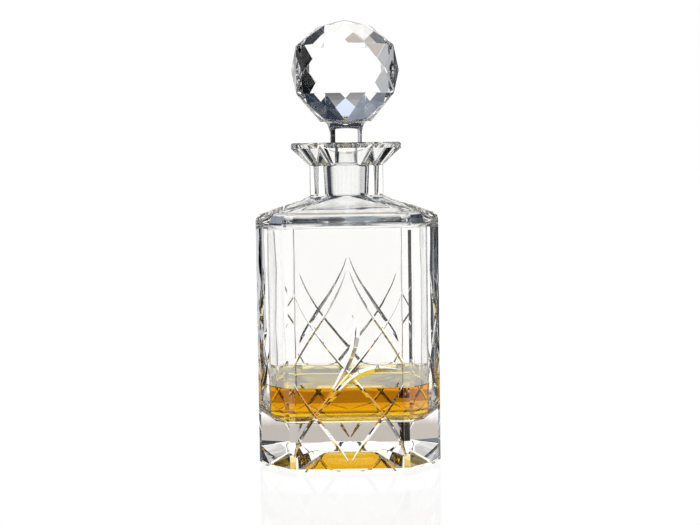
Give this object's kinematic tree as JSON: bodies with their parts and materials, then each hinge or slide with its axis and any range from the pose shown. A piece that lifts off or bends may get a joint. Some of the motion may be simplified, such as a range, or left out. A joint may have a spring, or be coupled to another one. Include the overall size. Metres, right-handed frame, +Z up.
{
  "type": "decanter",
  "caption": "Square clear-glass decanter with cut-off corners, curved trellis cuts, flared lip and lift-out faceted ball stopper, holding a little whisky.",
  "frame": {"origin": "centre of the underside, on the surface the decanter stands on", "axes": "+Z up along the bottle and the stopper, +X and +Y square to the wide faces, -Y out of the face the picture shows"},
  "size_m": [0.0978, 0.0978, 0.2414],
  "materials": {
    "glass": "polished clear",
    "whisky": "clear amber liquid"
  },
  "bodies": {
    "bottle": {"decanter_body": "glass", "whisky": "whisky"},
    "stopper": {"stopper": "glass"}
  },
  "joints": [
    {"name": "stopper_lift", "type": "slide", "parent": "bottle", "child": "stopper", "axis": [0, 0, 1], "range_m": [0, 0.05]}
  ]
}
